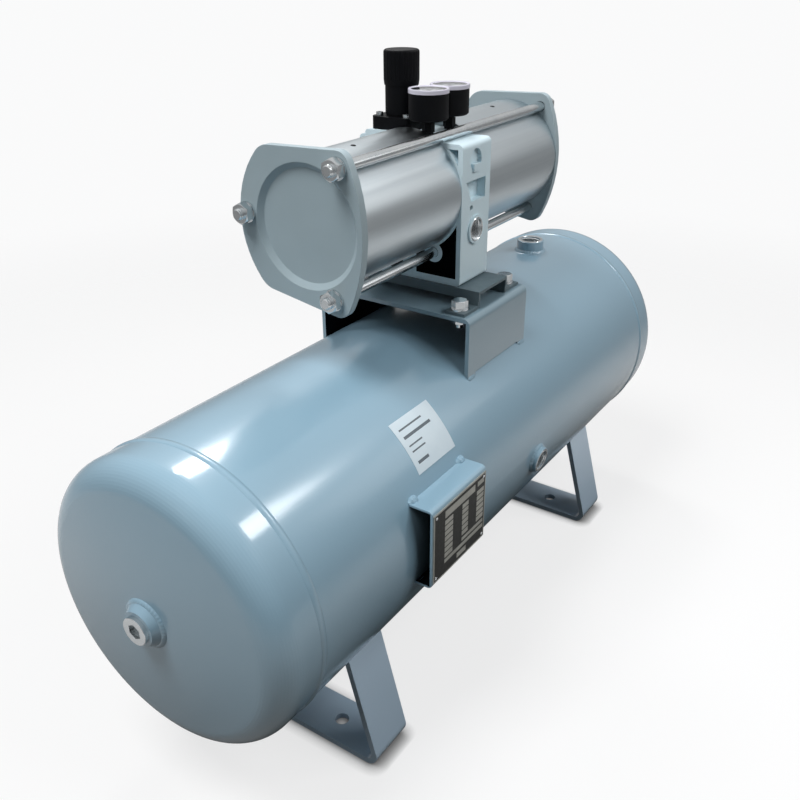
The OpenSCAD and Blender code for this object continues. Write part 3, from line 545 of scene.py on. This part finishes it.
BEAD_STEPS = 8
BEAD_SINK = 0.3 * MM
BEAD_TIP = 0.15
RIPPLE = 0.14
RIPPLE_PITCH = 3.2 * MM
SEAM_RIPPLE = 0.03
RING_SPACING = 0.9 * MM
RUN_SPACING = 0.8 * MM
SEAM_BEAD = (7 * MM, 1.2 * MM)
TOP_BEAD = (7 * MM, 2.4 * MM)
SIDE_BEAD = (6 * MM, 2.2 * MM)
DRAIN_BEAD = (5 * MM, 1.8 * MM)
END_BEAD = (6 * MM, 1.6 * MM)
LEG_BEAD = (6 * MM, 2 * MM)
SADDLE_BEAD = (5 * MM, 1.8 * MM)
SADDLE_RUN = 14 * MM
HOLDER_BEAD = (9 * MM, 4.2 * MM)
HOLDER_RUN = 13 * MM


def bead(shape, path, size, closed=False, ripple=RIPPLE):
    """A rippled bead along a path of (point, outward direction)."""
    width, height = size
    count = len(path)
    sections = []
    run = 0.0
    total = sum((path[i + 1][0] - path[i][0]).length for i in range(count - 1))
    for i, (point, out) in enumerate(path):
        before = path[i - 1][0] if i or closed else point
        after = path[(i + 1) % count][0] if i + 1 < count or closed else point
        side = (after - before).normalized().cross(out).normalized()
        if i:
            run += (point - path[i - 1][0]).length
        swell = 1 + ripple * math.cos(2 * math.pi * run / RIPPLE_PITCH)
        end = 1.0 if closed else min(1.0, BEAD_TIP + 2 * min(run, total - run) / width)
        section = []
        for turn in turns(BEAD_STEPS):
            rise = math.sin(turn) * height * swell * end
            section.append(point + side * (math.cos(turn) * width / 2 * math.sqrt(end))
                           + out * max(rise, -BEAD_SINK))
        sections.append(section)
    shape.sweep(sections, closed)


def tank_spot(x, angle):
    """A point on the shell and its outward direction, at an angle up from the near side."""
    out = Vector((0, -math.cos(angle), math.sin(angle)))
    return Vector((x, 0, AXIS_Z)) + out * TANK_R, out


def ring(radius):
    """The angles of a closed bead's steps."""
    return turns(int(2 * math.pi * radius / RING_SPACING))


def seam_welds():
    shape = Shape()
    for end in BOTH:
        path = [tank_spot(end * SEAM, turn) for turn in ring(TANK_R)]
        bead(shape, path, SEAM_BEAD, closed=True, ripple=SEAM_RIPPLE)
    piece("seam_welds", shape, TANK)


def socket_weld(shape, node, angle, size):
    """A fillet round a socket that stands square on the shell."""
    radius = half(node, 0)
    up = Vector((0, math.sin(angle), math.cos(angle)))
    path = []
    for turn in ring(radius):
        lift = math.asin(radius * math.sin(turn) / TANK_R)
        spot, out = tank_spot(middle(node, 0) + radius * math.cos(turn), angle + lift)
        away = X * math.cos(turn) + up * math.sin(turn)
        path.append((spot, (out + away).normalized()))
    bead(shape, path, size, closed=True)


def boss_welds():
    shape = Shape()
    socket_weld(shape, "top_boss", math.pi / 2, TOP_BEAD)
    socket_weld(shape, "side_boss", -SIDE_TILT, SIDE_BEAD)
    socket_weld(shape, "drain_boss", -math.pi / 2, DRAIN_BEAD)
    root = half("end_bosses", 2)
    for end in BOTH:
        place = Vector((end * (high("end_bosses", 0) - BOSS_LENGTH), 0, AXIS_Z))
        path = []
        for turn in ring(root):
            away = Y * math.cos(turn) + Z * math.sin(turn)
            path.append((place + away * root, (away + X * end).normalized()))
        bead(shape, path, END_BEAD, closed=True)
    piece("boss_welds", shape, TANK)


def straight(x0, x1, angle, lean):
    """A path along the shell from x0 to x1, with the bead leaning towards a direction."""
    count = max(3, int(abs(x1 - x0) / RUN_SPACING))
    path = []
    for i in range(count + 1):
        spot, out = tank_spot(x0 + (x1 - x0) * i / count, angle)
        path.append((spot, (out + lean).normalized()))
    return path


def end_runs(node, length):
    """The two short stretches of a node's length along X, at its ends."""
    x0, x1 = low(node, 0), high(node, 0)
    return (x0, x0 + length), (x1 - length, x1)


def on_side(angle, side):
    """The same angle on the near side, or mirrored to the far one."""
    return angle if side < 0 else math.pi - angle


def bracket_welds():
    shape = Shape()
    for leg in ("front_leg", "rear_leg"):
        x0, x1 = low(leg, 0) + MM, high(leg, 0) - MM
        for side in BOTH:
            for reach, lean in ((ARM_OUT, Y * side), (ARM_IN, -Y * side)):
                angle = on_side(-math.acos(reach / TANK_R), side)
                bead(shape, straight(x0, x1, angle, lean), LEG_BEAD)
    for side in BOTH:
        angle = on_side(math.acos(high("saddle_bracket", 1) / TANK_R), side)
        for x0, x1 in end_runs("saddle_bracket", SADDLE_RUN):
            bead(shape, straight(x0, x1, angle, Y * side), SADDLE_BEAD)
    for edge, lean in ((high("plate_holder", 2), Z), (low("plate_holder", 2), -Z)):
        angle = math.asin((edge - AXIS_Z) / TANK_R)
        for x0, x1 in end_runs("plate_holder", HOLDER_RUN):
            bead(shape, straight(x0, x1, angle, lean), HOLDER_BEAD)
    piece("bracket_welds", shape, TANK)


seam_welds()
boss_welds()
bracket_welds()


# Screw threads, bare rims, plugs and the regulating spring

RIDGE_STEPS = 40
RIDGE_FADE = RIDGE_STEPS / 4
RIDGE_TIP = 0.05
RIDGE_FORM = ((0, -0.48), (1, -0.08), (1, 0.08), (0, 0.48))  # shares of depth and pitch
PIPE_THREAD = 1.81 * MM
PIPE_DEPTH = 1.0 * MM
PIPE_REACH = 17 * MM
PIPE_LENGTH = 16.6 * MM
RIM_RISE = 0.5 * MM
RIM_OVERHANG = 0.1 * MM
TOP_RIM = 15.4 * MM
SIDE_RIM = 13.2 * MM
PORT_RIM = 11.8 * MM
ROD_THREAD = 1.25 * MM
ROD_DEPTH = 0.3 * MM
BUTTON_SIDE = 0.4
BUTTON_RINGS = 5
BUTTON_STEPS = 32
PLUG_ANGLE = math.radians(84)
PLUG_REACH = 124 * MM
PLUG_SIZE = (2.4 * MM, 0.5 * MM)


def ridge(shape, place, radius, depth, pitch, length):
    """A helical ridge, standing in from the radius for a negative depth and out for a positive."""
    count = int(RIDGE_STEPS * (length / pitch - 1))
    sections = []
    for i in range(count + 1):
        turn = 2 * math.pi * i / RIDGE_STEPS
        out = Vector((math.cos(turn), math.sin(turn), 0))
        height = pitch * (0.5 + i / RIDGE_STEPS)
        fade = min(1.0, i / RIDGE_FADE, (count - i) / RIDGE_FADE)
        rise = depth * max(fade, RIDGE_TIP)
        sections.append([place @ (out * (radius + r * rise) + Z * (height + h * pitch))
                         for r, h in RIDGE_FORM])
    shape.sweep(sections, closed=False)


def rim(shape, place, inner, outer, rise):
    """A bare turned ring round the mouth of a bore, chamfered on both edges."""
    edge = rise / 2
    profile = ((inner, -rise), (outer, -rise), (outer, rise - edge), (outer - edge, rise),
               (inner + 2 * edge, rise), (inner, 0))
    shape.lathe(profile, place)


def sockets():
    threads = Shape()
    rims = Shape()
    side_out = Vector((0, -math.cos(SIDE_TILT), -math.sin(SIDE_TILT)))
    top = Vector((middle("top_boss", 0), 0, high("top_boss", 2)))
    side = Vector((middle("side_boss", 0), 0, AXIS_Z)) + side_out * (TANK_R + SIDE_LENGTH)
    mouths = [(top, Z, TOP_BORE, TOP_RIM), (side, side_out, SIDE_BORE, SIDE_RIM)]
    for end in BOTH:
        port = Vector((BOOSTER_X, end * high("centre_housing", 1), CYL_Z - PORT_DROP))
        mouths.append((port, Y * end, PORT_BORE, PORT_RIM))
    for mouth, out, bore, outer in mouths:
        foot = stand(mouth - out * PIPE_REACH, out)
        ridge(threads, foot, bore, -PIPE_DEPTH, PIPE_THREAD, PIPE_LENGTH)
        rim(rims, stand(mouth, out), bore - RIM_OVERHANG, outer, RIM_RISE)
    piece("socket_threads", threads, STEEL)
    piece("socket_rims", rims, STEEL)


def rod_threads():
    shape = Shape()
    start = high("tie_rod_nuts", 0) - BOOSTER_X
    length = high("tie_rods", 0) - BOOSTER_X - start
    for end in BOTH:
        for angle in ROD_ANGLES:
            foot = Vector((BOOSTER_X + end * start, -ROD_CIRCLE * math.cos(angle),
                           CYL_Z + ROD_CIRCLE * math.sin(angle)))
            ridge(shape, stand(foot, X * end), ROD_RADIUS, ROD_DEPTH, ROD_THREAD, length)
    piece("rod_threads", shape, STEEL)


def button(shape, foot, out, size):
    """A domed screw head or plug of a (radius, rise)."""
    radius, rise = size
    profile = [(0, -rise), (radius, -rise), (radius, rise * BUTTON_SIDE)]
    for i in range(1, BUTTON_RINGS + 1):
        turn = math.pi / 2 * i / BUTTON_RINGS
        dome = BUTTON_SIDE + (1 - BUTTON_SIDE) * math.sin(turn)
        profile.append((radius * math.cos(turn), rise * dome))
    shape.lathe(profile, stand(foot, out), BUTTON_STEPS)


def tube_plugs():
    shape = Shape()
    out = Vector((0, -math.cos(PLUG_ANGLE), math.sin(PLUG_ANGLE)))
    for end in BOTH:
        spot = Vector((BOOSTER_X + end * PLUG_REACH, 0, CYL_Z)) + out * TUBE_R
        button(shape, spot, out, PLUG_SIZE)
    piece("tube_plugs", shape, RESIN)


def regulating_coil():
    """The regulating spring, copied into a fixed piece; the real one shortens between its plate
    and the moving seat.
    """
    node = "regulating_spring"
    shape = Shape()
    shape.add_mesh(nodes[node].data, nodes[node].matrix_world)
    made = piece("regulating_coil", shape, STEEL, body=None)
    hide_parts(node)
    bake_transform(made)


sockets()
rod_threads()
tube_plugs()
regulating_coil()


# Nameplate, label and gauge faces

FIELD_MARGIN = 3 * MM
FIELD_THICK = 0.15 * MM
FIELD_EDGE = 0.1 * MM
CELL_THICK = 0.1 * MM
CELL_EDGE = 0.08 * MM
CELL_SHARE = 0.8
# Cells as (left, right, low, high), and columns of cells as (left, right, low, rows)
WIDE_CELLS = ((0.20, 0.78, 0.84, 0.94), (0.83, 0.96, 0.87, 0.94), (0.20, 0.96, 0.17, 0.225),
              (0.53, 0.96, 0.255, 0.305), (0.44, 0.62, 0.06, 0.13))
COLUMNS = ((0.20, 0.35, 0.25, 7), (0.53, 0.65, 0.34, 6), (0.82, 0.96, 0.34, 6))
COLUMN_TOP = 0.82
RIVET_ACROSS = (0.045, 0.955)
RIVET_UP = (0.055, 0.945)
RIVET_SIZE = (1.6 * MM, 0.8 * MM)

LABEL_MARGIN = 6 * MM
RULE_SUNK = 0.25 * MM
RULE_RAISED = 0.35 * MM
# Rules as (degrees up the shell, share of the width, half the thickness in degrees)
RULES = ((47.0, 0.72, 0.35), (43.6, 0.86, 0.60), (40.0, 0.42, 0.30), (37.6, 0.42, 0.30),
         (33.0, 0.34, 0.60))

DIAL_START = 225
DIAL_SWEEP = 270
DIAL_STEPS = 10
FINE_STEPS = 5
MAIN_TICK = (2.4 * MM, 0.4 * MM)
FINE_TICK = (1.4 * MM, 0.2 * MM)
TICK_MARGIN = 1.2 * MM
TICK_THICK = 0.05 * MM
TICK_EDGE = 0.03 * MM
DIGIT_EVERY = 2
DIGIT_SIZE = 2.9 * MM
DIGIT_MARGIN = 5.6 * MM
DIGIT_RISE = 0.03 * MM
DIGIT_THICK = 0.02 * MM

# The bezel's turned-down edge as (out from its radius, up from its top), in millimetres
SKIRT = ((-1.4, -0.4), (-1.0, 0.25), (0.0, 0.25), (0.5, -0.3), (0.5, -3.7), (-0.2, -3.7),
         (-0.2, -0.4))
SKIRT_STEPS = 64


def plate_place(u, v):
    """A place on the nameplate's face, with u and v from 0 to 1 across and up it."""
    x = low("nameplate", 0) + u * 2 * half("nameplate", 0)
    z = low("nameplate", 2) + v * 2 * half("nameplate", 2)
    turn = Matrix((X, Z, -Y)).transposed().to_4x4()
    return Matrix.Translation((x, low("nameplate", 1), z)) @ turn


def nameplate_face():
    width, height = 2 * half("nameplate", 0), 2 * half("nameplate", 2)
    field = Shape()
    field.tile(plate_place(0.5, 0.5), width - FIELD_MARGIN, height - FIELD_MARGIN,
               FIELD_THICK, FIELD_EDGE)
    piece("nameplate_field", field, FIELD, smooth=FLAT_EDGES)
    cells = list(WIDE_CELLS)
    for u0, u1, v0, rows in COLUMNS:
        pitch = (COLUMN_TOP - v0) / rows
        cells += [(u0, u1, v0 + pitch * i, v0 + pitch * (i + CELL_SHARE)) for i in range(rows)]
    bare = Shape()
    lift = Matrix.Translation((0, 0, FIELD_THICK))
    for u0, u1, v0, v1 in cells:
        place = plate_place((u0 + u1) / 2, (v0 + v1) / 2) @ lift
        bare.tile(place, (u1 - u0) * width, (v1 - v0) * height, CELL_THICK, CELL_EDGE)
    piece("nameplate_cells", bare, ETCHED, smooth=FLAT_EDGES)
    rivets = Shape()
    for u in RIVET_ACROSS:
        for v in RIVET_UP:
            button(rivets, plate_place(u, v).translation, -Y, RIVET_SIZE)
    piece("nameplate_rivets", rivets, STEEL)


def label_rules():
    """Printed rules across the bare label, bent with the shell."""
    shape = Shape()
    x0, x1 = low("label", 0) + LABEL_MARGIN, high("label", 0) - LABEL_MARGIN
    for degrees, share, thick in RULES:
        outline = ((-thick, RULE_SUNK), (thick, RULE_SUNK), (thick, RULE_RAISED),
                   (-thick, RULE_RAISED))
        sections = []
        for x in (x0, x0 + (x1 - x0) * share):
            section = []
            for turn, rise in outline:
                spot, out = tank_spot(x, math.radians(degrees + turn))
                section.append(spot + out * rise)
            sections.append(section)
        shape.sweep(sections, closed=False)
    piece("label_rules", shape, RULE, smooth=FLAT_EDGES)


def digit_mesh(text):
    curve = bpy.data.curves.new("digit", "FONT")
    curve.body = text
    curve.size = DIGIT_SIZE
    curve.align_x = "CENTER"
    curve.align_y = "CENTER"
    curve.extrude = DIGIT_THICK
    holder = bpy.data.objects.new("digit", curve)
    bpy.context.collection.objects.link(holder)
    bpy.context.view_layer.update()
    drawn = holder.evaluated_get(bpy.context.evaluated_depsgraph_get())
    mesh = bpy.data.meshes.new_from_object(drawn)
    bpy.data.objects.remove(holder)
    bpy.data.curves.remove(curve)
    return mesh


def dial_turn(step, count):
    """The angle of a step, when the dial's sweep has that many."""
    return math.radians(DIAL_START - DIAL_SWEEP * step / count)


def outward(turn):
    return X * math.cos(turn) + Y * math.sin(turn)


def gauge_faces():
    shape = Shape()
    radius = half("gauge_dials", 1)
    spread = half("gauge_dials", 0) - radius
    ticks = DIAL_STEPS * FINE_STEPS
    for end in BOTH:
        centre = Vector((BOOSTER_X + end * spread, middle("gauge_dials", 1),
                         high("gauge_dials", 2)))
        for i in range(ticks + 1):
            turn = dial_turn(i, ticks)
            length, width = FINE_TICK if i % FINE_STEPS else MAIN_TICK
            spot = centre + outward(turn) * (radius - TICK_MARGIN - length / 2)
            place = Matrix.Translation(spot) @ Matrix.Rotation(turn, 4, "Z")
            shape.tile(place, length, width, TICK_THICK, TICK_EDGE)
        for i in range(0, DIAL_STEPS + 1, DIGIT_EVERY):
            out = outward(dial_turn(i, DIAL_STEPS))
            spot = centre + out * (radius - DIGIT_MARGIN) + Z * DIGIT_RISE
            shape.add_mesh(digit_mesh(str(i)), Matrix.Translation(spot))
    piece("dial_marks", shape, INK, smooth=FLAT_EDGES)


def bezel_skirts():
    """The bezels' turned-down edges over the tops of the cases."""
    shape = Shape()
    radius = half("gauge_bezels", 1)
    spread = half("gauge_bezels", 0) - radius
    profile = [(radius + out * MM, up * MM) for out, up in SKIRT]
    for end in BOTH:
        centre = (BOOSTER_X + end * spread, middle("gauge_bezels", 1), high("gauge_bezels", 2))
        shape.lathe(profile, Matrix.Translation(centre), SKIRT_STEPS)
    piece("bezel_skirts", shape, BEZEL)


nameplate_face()
label_rules()
gauge_faces()
bezel_skirts()


# Camera, world, floor and lamps

CAMERA_PLACE = Vector((-0.7293, -0.4707, 0.6885))
CAMERA_YAW = math.radians(34.16)
CAMERA_PITCH = math.radians(27.20)
CAMERA_ROLL = math.radians(-0.33)
FOCAL_PIXELS = 876.6
IMAGE_PIXELS = 800
SENSOR_MM = 36.0

BACKDROP = (0.955, 0.957, 0.96, 1.0)
AMBIENT = (1.0, 0.985, 0.96, 1.0)
AMBIENT_LEVEL = 0.08
MIRROR_LOW = 0.28
MIRROR_HIGH = 0.95

FLOOR_HALF = 6.0
FLOOR_FADE = (0.8, 1.9)
FLOOR_SEEN = (1.0, 1.0, 1.0, 1.0)
FLOOR_GLOW = 0.76
# Occlusion within this reach darkens the floor's glow: a painted contact shade
FLOOR_CONTACT = 14 * MM
FLOOR_DEPTH = 2.5
FLOOR_BOUNCE = (0.06, 0.057, 0.05, 1.0)
# Reflections of the floor are darker within this oval round the tank: a painted shadow
FLOOR_MIRROR = (0.08, 0.68)
MIRROR_REACH = (0.45, 0.35)
MIRROR_SPAN = (0.4, 1.8)

# Lamps as (name, place, target, width, depth, watts, whether it shows in reflections)
AIM = (0.0, 0.0, 0.3)
LAMPS = (
    ("window_far", (0.77, 0.81, 1.78), (-0.35, -0.03, 0.34), 0.42, 0.34, 9, True),
    ("window_near", (0.80, -1.01, 1.67), (-0.35, -0.09, 0.32), 0.34, 0.34, 5, True),
    ("panel", (1.37, -1.40, 1.12), (-0.13, -0.05, 0.5), 0.6, 0.6, 1.2, True),
    ("ceiling", (-1.0, 0.35, 2.3), AIM, 0.9, 0.9, 38, False),
    ("near_side", (0.3, -1.6, 1.7), AIM, 1.0, 1.0, 16, False),
    ("near_end", (-2.1, 0.45, 1.3), AIM, 0.8, 0.8, 6, False),
)


def make_camera():
    look = Vector((math.cos(CAMERA_YAW) * math.cos(CAMERA_PITCH),
                   math.sin(CAMERA_YAW) * math.cos(CAMERA_PITCH), -math.sin(CAMERA_PITCH)))
    level = Vector((math.sin(CAMERA_YAW), -math.cos(CAMERA_YAW), 0))
    upright = level.cross(look)
    right = level * math.cos(CAMERA_ROLL) + upright * math.sin(CAMERA_ROLL)
    up = upright * math.cos(CAMERA_ROLL) - level * math.sin(CAMERA_ROLL)
    turn = Matrix((right, up, -look)).transposed()
    data = bpy.data.cameras.new("camera")
    data.sensor_width = SENSOR_MM
    data.lens = SENSOR_MM * FOCAL_PIXELS / IMAGE_PIXELS
    made = bpy.data.objects.new("camera", data)
    made.matrix_world = Matrix.Translation(CAMERA_PLACE) @ turn.to_4x4()
    bpy.context.collection.objects.link(made)
    bpy.context.scene.camera = made


def make_world():
    """A faint light all round, brighter in reflections and white where it is seen."""
    world = bpy.data.worlds.new("studio")
    bpy.context.scene.world = world
    tree = Tree(world, empty=True)
    soft = tree.add("Background", {"Color": AMBIENT, "Strength": AMBIENT_LEVEL})
    white = tree.add("Background", {"Color": BACKDROP})
    place = tree.add("TexCoord")
    parts = tree.add("SeparateXYZ", {"Vector": place.outputs["Generated"]})
    rise = tree.add("MapRange", {"Value": parts.outputs["Z"], "To Min": MIRROR_LOW,
                                 "To Max": MIRROR_HIGH})
    mirror = tree.add("Background", {"Color": BACKDROP, "Strength": rise.outputs["Result"]})
    gloss = tree.mix(tree.rays("Is Glossy Ray"), soft, mirror)
    seen = tree.mix(tree.rays("Is Camera Ray", "Is Transmission Ray"), gloss, white)
    tree.add("OutputWorld", {"Surface": seen.outputs[0]})


def make_floor():
    """A white floor with the object's shadow and a painted contact shade, and a painted shadow
    that makes it darker in reflections close to the tank.
    """
    material = bpy.data.materials.new("floor")
    tree = Tree(material, empty=True)
    place = tree.add("TexCoord").outputs["Object"]
    lit = tree.add("BsdfDiffuse", {"Color": FLOOR_SEEN})
    near = tree.add("AmbientOcclusion", {"Distance": FLOOR_CONTACT})
    contact_shade = tree.add("Math", {0: near.outputs["AO"], 1: FLOOR_DEPTH}, operation="POWER")
    glow = tree.add("Emission", {"Color": BACKDROP, "Strength": contact_shade.outputs[0]})
    seen = tree.mix(FLOOR_GLOW, lit, glow)
    squeeze = (1 / MIRROR_REACH[0], 1 / MIRROR_REACH[1], 0)
    oval = tree.add("VectorMath", {0: place, 1: squeeze}, operation="MULTIPLY")
    away = tree.add("VectorMath", {0: oval.outputs["Vector"]}, operation="LENGTH")
    # Painted shadow round the tank, seen in reflections only
    level = tree.ease(away.outputs["Value"], MIRROR_SPAN, FLOOR_MIRROR)
    mirror = tree.add("BsdfDiffuse", {"Color": level})
    bounce = tree.add("BsdfDiffuse", {"Color": FLOOR_BOUNCE})
    reach = tree.add("VectorMath", {0: place}, operation="LENGTH")
    fade = tree.ease(reach.outputs["Value"], FLOOR_FADE, (0.0, 1.0))
    clear = tree.add("BsdfTransparent")
    by_gloss = tree.mix(tree.rays("Is Glossy Ray"), bounce, mirror)
    by_ray = tree.mix(tree.rays("Is Camera Ray", "Is Transmission Ray"), by_gloss, seen)
    by_reach = tree.mix(fade, by_ray, clear)
    tree.add("OutputMaterial", {"Surface": by_reach.outputs[0]})
    h = FLOOR_HALF
    mesh = bpy.data.meshes.new("floor")
    mesh.from_pydata([(-h, -h, 0), (h, -h, 0), (h, h, 0), (-h, h, 0)], [], [(0, 1, 2, 3)])
    mesh.materials.append(material)
    made = bpy.data.objects.new("floor", mesh)
    bpy.context.collection.objects.link(made)


def make_lamp(name, place, target, width, depth, power, mirrored):
    data = bpy.data.lights.new(name, "AREA")
    data.shape = "RECTANGLE"
    data.size = width
    data.size_y = depth
    data.energy = power
    made = bpy.data.objects.new(name, data)
    made.matrix_world = stand(place, Vector(place) - Vector(target))
    made.visible_glossy = mirrored
    bpy.context.collection.objects.link(made)


make_camera()
make_world()
make_floor()
for lamp in LAMPS:
    make_lamp(*lamp)

bpy.context.scene.view_settings.view_transform = "Standard"
